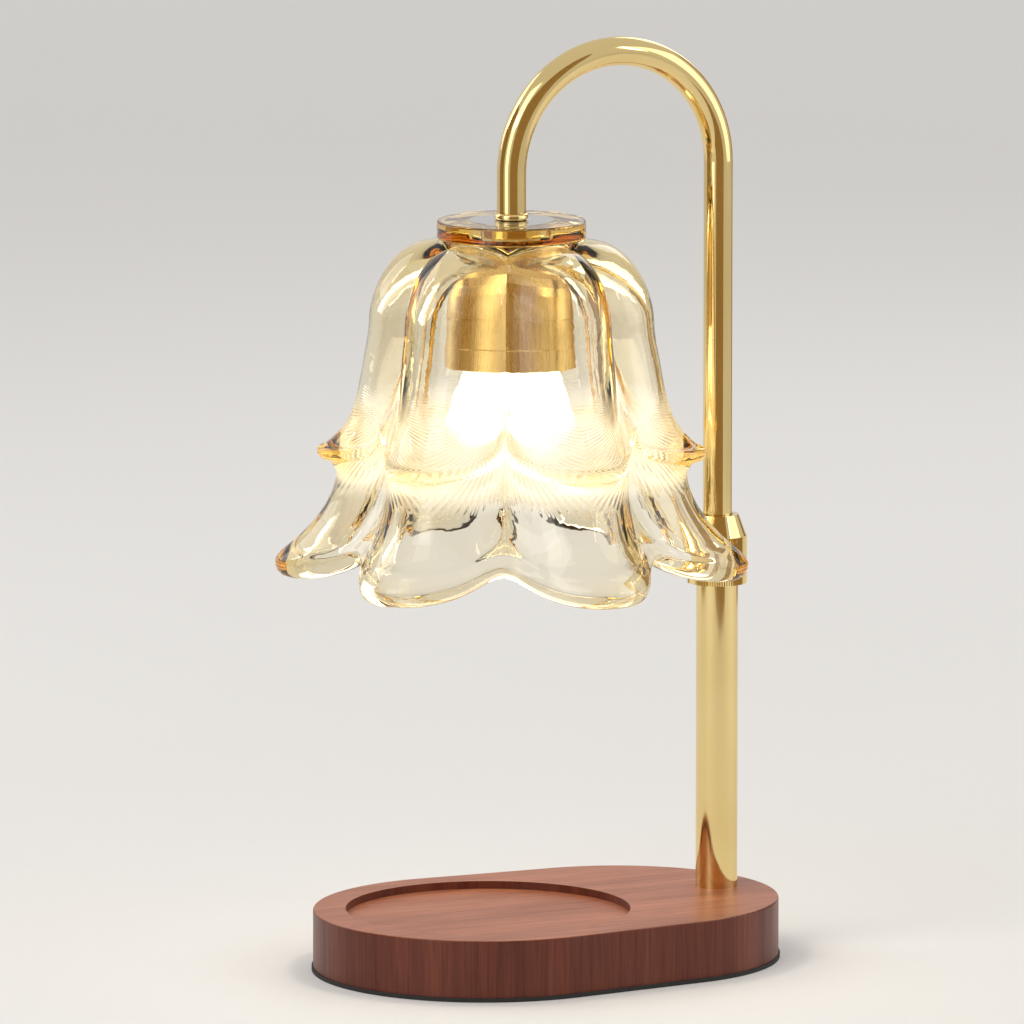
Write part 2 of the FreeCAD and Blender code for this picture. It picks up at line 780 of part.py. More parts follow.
def skin(grid):
    """A B-spline surface through a grid of points: curves down each line, then across their poles."""
    along = chord_parameters(grid)
    steps = [i / (len(grid) - 1) for i in range(len(grid))]
    down = []
    for line in grid:
        curve = Part.BSplineCurve()
        curve.interpolate(Points=line, Parameters=along)
        down.append(curve)
    knots_v, mults_v = down[0].getKnots(), down[0].getMultiplicities()
    rows = []
    across = None
    for j in range(down[0].NbPoles):
        across = Part.BSplineCurve()
        across.interpolate(Points=[curve.getPole(j + 1) for curve in down], Parameters=steps)
        rows.append(across.getPoles())
    poles = [[rows[j][i] for j in range(len(rows))] for i in range(len(rows[0]))]
    surface = Part.BSplineSurface()
    surface.buildFromPolesMultsKnots(poles, across.getMultiplicities(), mults_v, across.getKnots(), knots_v,
                                     False, False, across.Degree, down[0].Degree)
    return surface


def skin_bands(surface, knots_per_band=9):
    """The surface cut across its knots into bands, so that no face is long and winding."""
    knots = surface.getVKnots()
    cuts = knots[:-knots_per_band // 2:knots_per_band] + [knots[-1]]
    low_u, high_u = surface.bounds()[:2]
    bands = []
    for low, high in zip(cuts, cuts[1:]):
        band = surface.copy()
        band.segment(low_u, high_u, low, high)
        bands.append(band.toShape())
    return bands


def flat_ring(faces, height, circle_radius):
    """The flat face between a circle and the ring of petal edges at the same height."""
    rim = []
    for face in faces:
        for edge in face.Edges:
            span = edge.BoundBox
            if abs(span.ZMin - height) < 0.001 and abs(span.ZMax - height) < 0.001:
                rim.append(edge)
    circle = Part.Circle(Vector(0, 0, height), Vector(0, 0, 1), circle_radius).toShape()
    wires = [Part.Wire(Part.__sortEdges__(rim)), Part.Wire([circle])]
    return Part.makeFace(wires, "Part::FaceMakerBullseye")


def fitting_faces():
    """Round the flange, down the two-step counterbore and through the bore to the roof."""
    rim = flange_radius - flange_round
    bend = flange_round * math.sin(math.radians(45))
    bottom, top = flange_bottom + flange_round, flange_top_height - flange_round
    counterbore = cap_disc_radius + counterbore_clear
    plate_bore = cap_plate_radius + counterbore_clear
    plate_seat = cap_disc_top - cap_plate_seat_clear
    corners = [Vector(radius, 0, height) for radius, height in (
        (rim, flange_bottom), (flange_radius, bottom), (flange_radius, top), (rim, flange_top_height),
        (plate_bore, flange_top_height), (plate_bore, plate_seat), (counterbore, plate_seat),
        (counterbore, web_top), (glass_bore, web_top), (glass_bore, roof_height))]
    edges = [
        Part.Arc(corners[0], Vector(rim + bend, 0, bottom - bend), corners[1]).toShape(),
        Part.LineSegment(corners[1], corners[2]).toShape(),
        Part.Arc(corners[2], Vector(rim + bend, 0, top + bend), corners[3]).toShape(),
    ]
    for start, end in zip(corners[3:], corners[4:]):
        edges.append(Part.LineSegment(start, end).toShape())
    return Part.Wire(edges).revolve(Vector(0, 0, 0), Vector(0, 0, 1), 360).Faces


def glass_shade():
    """Six copies of one petal's skin and the turned fitting, sewn into a solid."""
    first = skin_bands(skin(petal_grid(math.pi / petals)))
    faces = []
    for i in range(petals):
        for face in first:
            turned = face.copy()
            turned.rotate(Vector(0, 0, 0), Vector(0, 0, 1), 360 * i / petals)
            faces.append(turned)
    rings = [flat_ring(faces, flange_bottom, flange_radius - flange_round),
             flat_ring(faces, roof_height, glass_bore)]
    shell = Part.makeShell(faces + rings + fitting_faces())
    shell.sewShape()
    glass = Part.Solid(shell)
    glass.fix(0.001, 0.001, 0.001)
    if glass.Volume < 0:
        glass.reverse()
    glass.translate(Vector(drop_x, 0, 0))
    return glass


# ---------------------------------------------------------------- socket can and lamp holder
def shoulder_outline(radius, top, inset):
    """Quarter-ellipse shoulder of the can, from the top plate to the side."""
    centre = can_top_radius
    points = []
    for degrees in (0, 18, 36, 54, 72, 90):
        angle = math.radians(degrees)
        points.append((centre + (radius - centre) * math.sin(angle),
                       top - can_shoulder + (can_shoulder - inset) * math.cos(angle)))
    return points


def can_cover():
    outer = shoulder_outline(can_radius, can_top, 0)
    inner = shoulder_outline(can_radius - can_wall, can_top, can_wall)
    hole = nipple_radius + nipple_clear
    outline = [(hole, can_top)] + outer + [(can_radius, can_seam), (can_radius - can_wall, can_seam)]
    outline += inner[::-1] + [(hole, can_top - can_wall)]
    return revolve(outline, drop_x)


def can_sleeve():
    lap = can_radius - can_wall - can_seam_clear
    shoulder = can_seam - can_seam_gap
    lap_top = can_seam + can_seam_lap
    rim_radius = can_radius + can_rim_stand
    rim_top = can_bottom + can_rim_height
    outline = [(rim_radius, can_bottom), (rim_radius, rim_top), (can_radius, rim_top + can_rim_stand),
               (can_radius, shoulder), (lap, shoulder), (lap, lap_top),
               (lap - can_wall, lap_top), (lap - can_wall, shoulder - can_wall),
               (can_radius - can_wall, shoulder - 2 * can_wall), (can_radius - can_wall, can_bottom)]
    return revolve(outline, drop_x)


def can_nut():
    """One nut under the bracket clamps the bracket, the can, both gaskets and the glass to the cap disc."""
    bottom = bracket_bottom - can_nut_height
    return hex_prism(can_nut_flats, bottom, bracket_bottom, drop_x).cut(
        cylinder(nipple_radius + press_clear, bottom - 1, bracket_bottom + 1, drop_x))


def screw_sides():
    return [drop_x + side * holder_screw_spacing / 2 for side in (-1, 1)]


def holder_bracket():
    """Strap clamped against the can's top, with two legs that carry the ceramic holder."""
    half = holder_screw_spacing / 2 + bracket_leg_radius
    reach = bracket_width / 2
    hole = holder_screw_radius + holder_screw_clear
    strap = box((drop_x - half, -reach, bracket_bottom), (drop_x + half, reach, bracket_top))
    strap = strap.fuse([cylinder(bracket_leg_radius, holder_top, bracket_bottom, x) for x in screw_sides()])
    strap = strap.cut(cylinder(nipple_radius + nipple_clear, bracket_bottom - 1, bracket_top + 1, drop_x))
    for x in screw_sides():
        strap = strap.cut(cylinder(hole, holder_top - 1, bracket_top + 1, x))
    return strap.removeSplitter()


def pin_sides():
    return [side * pin_spacing / 2 for side in (-1, 1)]


def pin_track(grow, bottom, top):
    """Arc-shaped slots in which the lamp's pins turn."""
    span = []
    radius = pin_spacing / 2
    for side in (0, 180):
        for i in range(7):
            turn = math.radians(side + 90 + mix(-twist_margin, twist_degrees + twist_margin, i / 6))
            span.append(cylinder(grow, bottom, top, radius * math.cos(turn), radius * math.sin(turn)))
    tool = span[0].fuse(span[1:])
    tool.translate(Vector(drop_x, 0, 0))
    return tool


def wiring_recess():
    """Trench in the holder's top, where the twin lead parts to the two contacts."""
    half_width, half_length = wiring_recess_width / 2, wiring_recess_length / 2
    return box((drop_x - half_width, -half_length, wiring_floor),
               (drop_x + half_width, half_length, holder_top + 1))


def lamp_holder():
    body = cylinder(holder_radius, holder_bottom, holder_top, drop_x)
    body = body.cut(pin_track(pin_head_radius + pin_head_clear, holder_bottom - 1, track_roof))
    body = body.cut(wiring_recess())
    hole = holder_screw_radius + holder_screw_clear
    for x in screw_sides():
        body = body.cut(cylinder(hole, holder_bottom - 1, holder_top + 1, x))
        body = body.cut(cylinder(holder_screw_head + holder_head_clear, holder_bottom - 1,
                                 holder_bottom + holder_screw_sink, x))
    for y in pin_sides():
        body = body.cut(cylinder(contact_rivet_radius, track_roof - 1, wiring_floor + 1, drop_x, y))
    return body


def holder_contacts():
    """Leaf contacts in the roof of each pin track, riveted up into the wiring recess."""
    contacts = []
    core_bottom = holder_top - wiring_recess_depth / 2 - core_radius
    for y in pin_sides():
        leaf = cylinder(contact_radius, track_roof - contact_thick, track_roof, drop_x, y)
        rivet = cylinder(contact_rivet_radius, track_roof, core_bottom, drop_x, y)
        contacts.append(leaf.fuse(rivet).removeSplitter())
    return Part.makeCompound(contacts)


def holder_screws():
    screws = []
    head_bottom = holder_bottom + holder_screw_sink - holder_screw_head_height
    for x in screw_sides():
        shank = cylinder(holder_screw_radius, head_bottom, bracket_top, x)
        head = cylinder(holder_screw_head, head_bottom, holder_bottom + holder_screw_sink, x)
        screws.append(shank.fuse(head).removeSplitter())
    return Part.makeCompound(screws)


# ---------------------------------------------------------------- reflector lamp
def lamp_base():
    body = cylinder(lamp_base_radius, lamp_neck, lamp_top, drop_x)
    for y in pin_sides():
        body = body.cut(cylinder(pin_radius, lamp_top - pin_seat_depth, lamp_top + 1, drop_x, y))
    seat_top = lamp_neck + capsule_seat_depth
    return body.cut(cylinder(capsule_radius + capsule_clear, lamp_neck - 1, seat_top, drop_x))


def lamp_pins():
    pins = []
    pin_top = lamp_top + pin_length
    for y in pin_sides():
        stem = cylinder(pin_radius, lamp_top - pin_seat_depth, pin_top, drop_x, y)
        head = cylinder(pin_head_radius, pin_top - pin_head_height, pin_top, drop_x, y)
        pins.append(stem.fuse(head).removeSplitter())
    return Part.makeCompound(pins)


def reflector_outline(inset):
    """Bowl from the lamp base to the rim, as a smooth curve of few points."""
    points = []
    for t in (0.0, 0.15, 0.35, 0.6, 0.8, 1.0):
        radius = lamp_base_radius + (lamp_front_radius - lamp_base_radius) * t ** 0.62 - inset
        points.append((radius, lamp_neck - lamp_reflector_height * t))
    return points


def lamp_reflector():
    outer = reflector_outline(0)
    inner = reflector_outline(lamp_shell_wall)
    outline = outer + [(lamp_front_radius, lamp_bottom), (lamp_front_radius - lamp_shell_wall, lamp_bottom)]
    outline += inner[::-1]
    return revolve(outline, drop_x)


def lamp_lens():
    """Front glass cemented inside the reflector's rim."""
    radius = lamp_front_radius - lamp_shell_wall - press_clear
    bottom = lamp_bottom + lamp_lens_inset
    return cylinder(radius, bottom, bottom + lamp_lens_thick, drop_x)


def lamp_capsule():
    top = lamp_neck + capsule_seat_depth
    tube = cylinder(capsule_radius, top - capsule_length, top, drop_x)
    tip = Part.makeSphere(capsule_radius, Vector(drop_x, 0, top - capsule_length))
    return tube.fuse(tip).removeSplitter()


# ---------------------------------------------------------------- wiring
def arm_lead():
    """Twin lead through the arm; at the holder its two cores part to the contacts."""
    core_height = holder_top - wiring_recess_depth / 2
    lead = sweep(arm_path(end_plug_bottom, core_height), lead_radius, Vector(mast_x, 0, end_plug_bottom),
                 Vector(0, 0, 1))
    cores = Part.makeCylinder(core_radius, pin_spacing, Vector(drop_x, -pin_spacing / 2, core_height),
                              Vector(0, 1, 0))
    return lead.fuse(cores)


def slack_lead():
    """Spare lead in a loose coil inside the lower tube; it opens and closes as the arm slides."""
    bottom = tube_plug_top
    height = end_plug_bottom - bottom
    count = round(slack_turns * slack_points_per_turn)
    points = [Vector(mast_x, 0, bottom)]
    for i in range(count + 1):
        turn = 2 * math.pi * i / slack_points_per_turn
        reach = slack_coil_radius * min(1, i / 2, (count - i) / 2)
        points.append(Vector(mast_x + reach * math.cos(turn), reach * math.sin(turn),
                             bottom + height * (i + 1) / (count + 2)))
    points.append(Vector(mast_x, 0, end_plug_bottom))
    lead = sweep(rounded_route(points), lead_radius, points[0], Vector(0, 0, 1))
    print("slack lead holds", round(sum(edge.Length for edge in rounded_route(points)), 1), "mm")
    return lead


def base_lead():
    """Lead from the tube plug down through the stud and into the terminal block."""
    low = terminal_bottom + terminal_entry_height
    points = [Vector(mast_x, 0, tube_plug_top), Vector(mast_x, 0, low),
              Vector(mast_x, terminal_near + terminal_entry_depth, low)]
    return sweep(rounded_route(points), lead_radius, points[0], Vector(0, 0, -1))


def terminal_block():
    half_width, half_length = terminal_width / 2, terminal_length / 2
    block = box((mast_x - half_width, terminal_middle - half_length, terminal_bottom),
                (mast_x + half_width, terminal_middle + half_length, pocket_top))
    entry = Part.makeCylinder(lead_radius + stud_clear, terminal_entry_depth + 1,
                              Vector(mast_x, terminal_near - 1, terminal_bottom + terminal_entry_height),
                              Vector(0, 1, 0))
    fixing = cylinder(terminal_fixing_radius, terminal_bottom - 1, pocket_top + 1, mast_x, terminal_middle)
    return block.cut(entry).cut(fixing)


def terminal_fixing_screw():
    return cylinder(terminal_fixing_radius, terminal_bottom, pocket_top + terminal_fixing_bite, mast_x,
                    terminal_middle)


# ---------------------------------------------------------------- write every piece
PIECES = [
    base_board, base_pad, weight_plate, plate_screws, cord_grommet,
    mast_foot, mast_stud, mast_washer, mast_nut, tube_plug, lower_tube, stop_sleeve, clamp_collet,
    lock_collar, arm_tube, guide_bush, stop_ring, tube_end_plug, arm_bush, drop_bead,
    cap_plate, cap_disc, cap_gasket, roof_gasket, shade_nipple, glass_shade,
    can_cover, can_sleeve, can_nut, holder_bracket, lamp_holder, holder_contacts, holder_screws,
    lamp_base, lamp_pins, lamp_reflector, lamp_lens, lamp_capsule,
    arm_lead, slack_lead, base_lead, terminal_block, terminal_fixing_screw,
]

os.makedirs("parts", exist_ok=True)
for piece in PIECES:
    shape = piece()
    print(piece.__name__, shape.isValid(), len(shape.Solids), "solids,", round(shape.Volume, 1), "mm3")
    shape.exportStep("parts/" + piece.__name__ + ".step")
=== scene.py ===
"""Looks of the candle warmer lamp: finishes, the lit lamp, the studio and the camera."""
import json
import math

import bmesh
import bpy
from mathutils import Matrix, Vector


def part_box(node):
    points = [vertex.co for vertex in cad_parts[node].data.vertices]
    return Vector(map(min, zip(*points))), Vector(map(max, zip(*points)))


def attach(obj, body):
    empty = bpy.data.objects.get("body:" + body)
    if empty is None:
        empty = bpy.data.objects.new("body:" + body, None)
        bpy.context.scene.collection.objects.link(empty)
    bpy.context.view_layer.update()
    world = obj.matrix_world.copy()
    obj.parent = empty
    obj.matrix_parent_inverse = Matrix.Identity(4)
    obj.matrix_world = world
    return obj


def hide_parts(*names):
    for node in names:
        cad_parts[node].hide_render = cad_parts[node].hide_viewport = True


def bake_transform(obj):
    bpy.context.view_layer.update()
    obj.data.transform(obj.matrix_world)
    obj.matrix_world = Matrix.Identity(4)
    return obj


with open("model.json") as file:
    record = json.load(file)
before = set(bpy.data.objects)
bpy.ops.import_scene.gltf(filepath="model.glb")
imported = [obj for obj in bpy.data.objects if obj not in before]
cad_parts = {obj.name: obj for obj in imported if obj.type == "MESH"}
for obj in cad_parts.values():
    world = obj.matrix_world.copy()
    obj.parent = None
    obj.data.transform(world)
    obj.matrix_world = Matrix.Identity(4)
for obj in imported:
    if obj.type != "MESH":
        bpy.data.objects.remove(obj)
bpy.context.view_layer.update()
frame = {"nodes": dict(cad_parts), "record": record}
nodes = frame["nodes"]
scene = bpy.context.scene
scene.view_settings.view_transform = "Standard"

MM = 0.001

# ---------------------------------------------------------------- places taken from the frame
shade_low, shade_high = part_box("glass_shade")
drop_x = (shade_low.x + shade_high.x) / 2
lens_low, lens_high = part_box("lamp_lens")

# ---------------------------------------------------------------- camera, fitted to the photograph
CAMERA_TARGET = Vector((-15.094, 0.0, 176.036)) * MM
CAMERA_DISTANCE = 4.6776
CAMERA_AZIMUTH = math.radians(27.2746)
CAMERA_ELEVATION = math.radians(9.0828)
CAMERA_LENS = 431.686
SENSOR_WIDTH = 36.0
CLIP_START, CLIP_END = 0.5, 60.0

# ---------------------------------------------------------------- studio
WORLD_COLOUR = (1.0, 0.985, 0.965)
WORLD_STRENGTH = 0.70
# name, degrees round the lamp, distance, height, the box's width and length, radiance
SOFTBOXES = (
    ("key", -38, 1.5, 1.5, 1.1, 1.1, 1.5),
    ("left_strip", -40, 1.0, 0.50, 0.40, 0.8, 1.3),
    ("right_strip", 88, 1.0, 0.55, 0.7, 0.8, 1.1),
    ("rear_left", -125, 1.4, 0.9, 0.7, 1.0, 1.5),
    ("rear_right", 160, 1.6, 1.1, 0.6, 0.9, 1.5),
    ("glint_left", -108, 1.3, 1.0, 0.10, 0.5, 7.0),
    ("glint_right", 62, 1.3, 0.9, 0.08, 0.5, 6.0),
)
FLOOR_REACH = 20.0
FLOOR_HEIGHT = -0.0001
FLOOR_COLOUR = (0.80, 0.785, 0.765)
FLOOR_FAR_COLOUR = (0.97, 0.96, 0.94)
# the paper turns from its near to its far colour between these distances; span is what the ramp covers
PAPER_NEAR, PAPER_FAR, PAPER_SPAN = 0.5, 6.0, 10.0
PAPER_MOTTLE = 0.985
FLAG_COLOUR = (0.34, 0.22, 0.09)
# name, first and last degree round the lamp, distance, height
FLAGS = (
    ("flag_centre", -14, 48, 0.85, 0.9),
    ("flag_left", -104, -64, 0.8, 0.9),
    ("flag_right", 130, 148, 0.9, 0.8),
)

# ---------------------------------------------------------------- wood
# faces that rise more steeply than this count as the board's top, which gets the painted lighter colours;
# the rest gets the painted darker edge colours
TOP_FACING = 0.7
PORE_SHARE = 0.7

# ---------------------------------------------------------------- glass and lamp
GLASS_COLOUR = (1.0, 0.895, 0.57)
GLASS_DENSITY = 88.0
GLASS_SHADOW_COLOUR = (0.97, 0.92, 0.78)
PETAL_HALF_TURN = math.pi / 6
# heights on the inner wall where the fine ribs, and the painted glow laid on them, start, are full, begin
# to fade and have gone
RIBS_START, RIBS_FULL, RIBS_FADE, RIBS_END = 0.182, 0.190, 0.208, 0.228
# how far a point has to face inward to belong to the inner wall
INWARD_NONE, INWARD_FULL = 0.2, 0.6
RIBS_FAN_HEIGHT = 0.2200
RIBS_FAN_RADIUS = 0.05
RIBS_PER_RADIAN = 120.0
# painted glow: the glass is no lamp, but its ribbed band emits a warm light that stands in for the lamp's
# light scattered in the ribs
PAINTED_GLOW_COLOUR = (1.0, 0.95, 0.84)
PAINTED_GLOW_STRENGTH = 0.36
PAINTED_GLOW_WAVE = 0.12
GROOVE_SHADE = 0.80
LENS_SEGMENTS, LENS_RINGS = 288, 16
LENS_RIBS = 36
LENS_DOME = 1.0 * MM
LENS_RIB_RISE = 0.6 * MM
# shares of the lens's radius where its ribs start, are full, begin to fade and have gone
LENS_RIBS_START, LENS_RIBS_FULL, LENS_RIBS_FADE, LENS_RIBS_END = 0.2, 0.4, 0.86, 0.98

# sockets of a colour mix node
MIX_SHARE, MIX_FIRST, MIX_SECOND, MIX_RESULT = 0, 6, 7, 2


def add_camera():
    level = CAMERA_DISTANCE * math.cos(CAMERA_ELEVATION)
    away = Vector((-level * math.sin(CAMERA_AZIMUTH), -level * math.cos(CAMERA_AZIMUTH),
                   CAMERA_DISTANCE * math.sin(CAMERA_ELEVATION)))
    data = bpy.data.cameras.new("camera")
    data.lens = CAMERA_LENS
    data.sensor_width = SENSOR_WIDTH
    data.clip_start = CLIP_START
    data.clip_end = CLIP_END
    camera = bpy.data.objects.new("camera", data)
    camera.location = CAMERA_TARGET + away
    camera.rotation_euler = (-away).to_track_quat("-Z", "Y").to_euler()
    scene.collection.objects.link(camera)
    scene.camera = camera


def shaded(colour, share):
    """The colour made darker or lighter, no lighter than white."""
    return tuple(min(1.0, share * part) for part in colour)


def around(degrees, distance, height):
    """A place round the lamp; 0 degrees is towards the camera and 90 is to the right of the picture."""
    turn = math.radians(degrees) - CAMERA_AZIMUTH
    return Vector((CAMERA_TARGET.x + distance * math.sin(turn), -distance * math.cos(turn), height))


def softbox(name, place, width, length, radiance):
    """A rectangular area lamp that faces the object."""
    data = bpy.data.lights.new(name, "AREA")
    data.shape = "RECTANGLE"
    data.size = width
    data.size_y = length
    data.energy = radiance * math.pi * width * length
    lamp = bpy.data.objects.new(name, data)
    lamp.location = place
    lamp.rotation_euler = (CAMERA_TARGET - place).to_track_quat("-Z", "Y").to_euler()
    scene.collection.objects.link(lamp)


def paper(name, colour, far_colour=None):
    """A matt studio surface with a faint mottle; it may run to another colour far from the lamp."""
    finish = Finish(name)
    mottle = finish.noise(scale=2.5, detail=3)
    tint = finish.ramp(mottle, [(0.3, shaded(colour, PAPER_MOTTLE)), (0.7, colour)])
    if far_colour:
        length = finish.node("ShaderNodeVectorMath", operation="LENGTH")
        finish.join(finish.place, length.inputs[0])
        away = finish.math("MULTIPLY", length.outputs["Value"], 1 / PAPER_SPAN)
        share = finish.ramp(away, [(PAPER_NEAR / PAPER_SPAN, 0.0), (PAPER_FAR / PAPER_SPAN, 1.0)])
        tint = finish.mix(share, tint, (*far_colour, 1))
    finish.join(tint, finish.shader.inputs["Base Color"])
    finish.set(Roughness=0.8)
    return finish.material


def staged(name, corners, material):
    mesh = bpy.data.meshes.new(name)
    mesh.from_pydata([tuple(corner) for corner in corners], [], [(0, 1, 2, 3)])
    mesh.materials.append(material)
    card = bpy.data.objects.new(name, mesh)
    scene.collection.objects.link(card)
    return card


def flag(name, start, end, distance, height, material):
    """A dark card that stands beside the lamp; only the reflections in metal and glass show it."""
    low = [around(start, distance, 0.0), around(end, distance, 0.0)]
    high = [around(end, distance, height), around(start, distance, height)]
    card = staged(name, low + high, material)
    card.visible_camera = False
    card.visible_diffuse = False
    card.visible_shadow = False


def add_studio():
    world = bpy.data.worlds.new("studio")
    world.use_nodes = True
    background = world.node_tree.nodes["Background"]
    background.inputs["Color"].default_value = (*WORLD_COLOUR, 1)
    background.inputs["Strength"].default_value = WORLD_STRENGTH
    scene.world = world

    for name, degrees, distance, height, width, length, radiance in SOFTBOXES:
        softbox(name, around(degrees, distance, height), width, length, radiance)

    signs = ((-1, -1), (1, -1), (1, 1), (-1, 1))
    corners = [(x * FLOOR_REACH, y * FLOOR_REACH, FLOOR_HEIGHT) for x, y in signs]
    staged("floor", corners, paper("floor_paper", FLOOR_COLOUR, FLOOR_FAR_COLOUR))
    card = paper("flag_card", FLAG_COLOUR)
    for name, start, end, distance, height in FLAGS:
        flag(name, start, end, distance, height, card)


# ---------------------------------------------------------------- material helpers
class Finish:
    """A node material with short ways to add and join nodes."""

    def __init__(self, name):
        self.material = bpy.data.materials.new(name)
        self.material.use_nodes = True
        self.tree = self.material.node_tree
        self.shader = self.tree.nodes["Principled BSDF"]
        self.output = self.tree.nodes["Material Output"]
        self.place = self.tree.nodes.new("ShaderNodeTexCoord").outputs["Object"]

    def node(self, kind, **settings):
        made = self.tree.nodes.new(kind)
        for name, value in settings.items():
            setattr(made, name, value)
        return made

    def join(self, source, target):
        self.tree.links.new(source, target)

    def feed(self, value, socket):
        """Join a socket, or write a plain value."""
        if isinstance(value, bpy.types.NodeSocket):
            self.join(value, socket)
        else:
            socket.default_value = value

    def set(self, **values):
        for name, value in values.items():
            self.shader.inputs[name.replace("_", " ")].default_value = value

    def round_axis(self):
        """The turn round the shade's axis, and the height."""
        apart = self.node("ShaderNodeVectorMath", operation="SUBTRACT")
        self.join(self.place, apart.inputs[0])
        apart.inputs[1].default_value = (drop_x, 0, 0)
        split = self.node("ShaderNodeSeparateXYZ")
        self.join(apart.outputs["Vector"], split.inputs["Vector"])
        return self.math("ARCTAN2", split.outputs["Y"], split.outputs["X"]), split.outputs["Z"]

    def stretched(self, scale):
        """Object coordinates scaled by a vector."""
        mapping = self.node("ShaderNodeMapping")
        mapping.inputs["Scale"].default_value = scale
        self.join(self.place, mapping.inputs["Vector"])
        return mapping.outputs["Vector"]

    def noise(self, scale, detail=4.0, roughness=0.5, stretch=(1, 1, 1), distortion=0.0):
        noise = self.node("ShaderNodeTexNoise")
        noise.inputs["Scale"].default_value = scale
        noise.inputs["Detail"].default_value = detail
        noise.inputs["Roughness"].default_value = roughness
        noise.inputs["Distortion"].default_value = distortion
        self.join(self.stretched(stretch), noise.inputs["Vector"])
        return noise.outputs["Fac"]

    def ramp(self, value, stops):
        """Colours or greys at positions; each stop is (position, colour)."""
        ramp = self.node("ShaderNodeValToRGB")
        elements = ramp.color_ramp.elements
        while len(elements) < len(stops):
            elements.new(0.5)
        for element, (position, colour) in zip(elements, stops):
            element.position = position
            element.color = (colour, colour, colour, 1) if isinstance(colour, float) else (*colour, 1)
        self.join(value, ramp.inputs["Fac"])
        return ramp.outputs["Color"]

    def mix(self, share, first, second, mode="MIX"):
        mix = self.node("ShaderNodeMix", data_type="RGBA", blend_type=mode)
        self.feed(share, mix.inputs[MIX_SHARE])
        self.feed(first, mix.inputs[MIX_FIRST])
        self.feed(second, mix.inputs[MIX_SECOND])
        return mix.outputs[MIX_RESULT]

    def math(self, operation, *values):
        made = self.node("ShaderNodeMath", operation=operation)
        for socket, value in zip(made.inputs, values):
            self.feed(value, socket)
        return made.outputs["Value"]

    def clear_for_shadows(self, tint):
        """Light passes straight through for shadow rays, so what stands in the glass is lit."""
        rays = self.node("ShaderNodeLightPath")
        through = self.node("ShaderNodeBsdfTransparent")
        through.inputs["Color"].default_value = tint
        mix = self.node("ShaderNodeMixShader")
        self.join(rays.outputs["Is Shadow Ray"], mix.inputs["Fac"])
        self.join(self.shader.outputs["BSDF"], mix.inputs[1])
        self.join(through.outputs["BSDF"], mix.inputs[2])
        self.join(mix.outputs["Shader"], self.output.inputs["Surface"])

    def roughness(self, value, low, high):
        """Roughness that runs from low to high as value goes from 0 to 1."""
        span = self.node("ShaderNodeMapRange")
        span.inputs["To Min"].default_value = low
        span.inputs["To Max"].default_value = high
        self.join(value, span.inputs["Value"])
        self.join(span.outputs["Result"], self.shader.inputs["Roughness"])

    def bump(self, value, height, strength=1.0):
        """A bump on top of those the material already has."""
        bump = self.node("ShaderNodeBump")
        bump.inputs["Strength"].default_value = strength
        bump.inputs["Distance"].default_value = height
        self.join(value, bump.inputs["Height"])
        before = self.shader.inputs["Normal"]
        if before.is_linked:
            self.join(before.links[0].from_socket, bump.inputs["Normal"])
        self.join(bump.outputs["Normal"], before)


# ---------------------------------------------------------------- finishes
def gold_plate():
    """Mirror-polished pale gold plating with faint draw lines."""
    finish = Finish("gold_plate")
    finish.set(Metallic=1.0)
    cloud = finish.noise(scale=30, detail=2)
    tint = finish.ramp(cloud, [(0.3, (0.80, 0.61, 0.27)), (0.7, (0.85, 0.66, 0.31))])
    finish.join(tint, finish.shader.inputs["Base Color"])
    finish.roughness(finish.noise(scale=900, detail=3, stretch=(1, 1, 0.1)), low=0.035, high=0.10)
    finish.bump(finish.noise(scale=2500, detail=2, stretch=(1, 1, 0.06)), height=0.01 * MM, strength=0.15)
    return finish.material


def satin_gold():
    """Gold can, brushed along its axis."""
    finish = Finish("satin_gold")
    finish.set(Metallic=1.0)
    lines = finish.noise(scale=1500, detail=3, stretch=(1, 1, 0.035))
    tint = finish.ramp(lines, [(0.25, (0.80, 0.55, 0.22)), (0.75, (0.95, 0.73, 0.36))])
    finish.join(tint, finish.shader.inputs["Base Color"])
    finish.roughness(lines, low=0.20, high=0.36)
    finish.bump(lines, height=0.03 * MM, strength=0.5)
    return finish.material


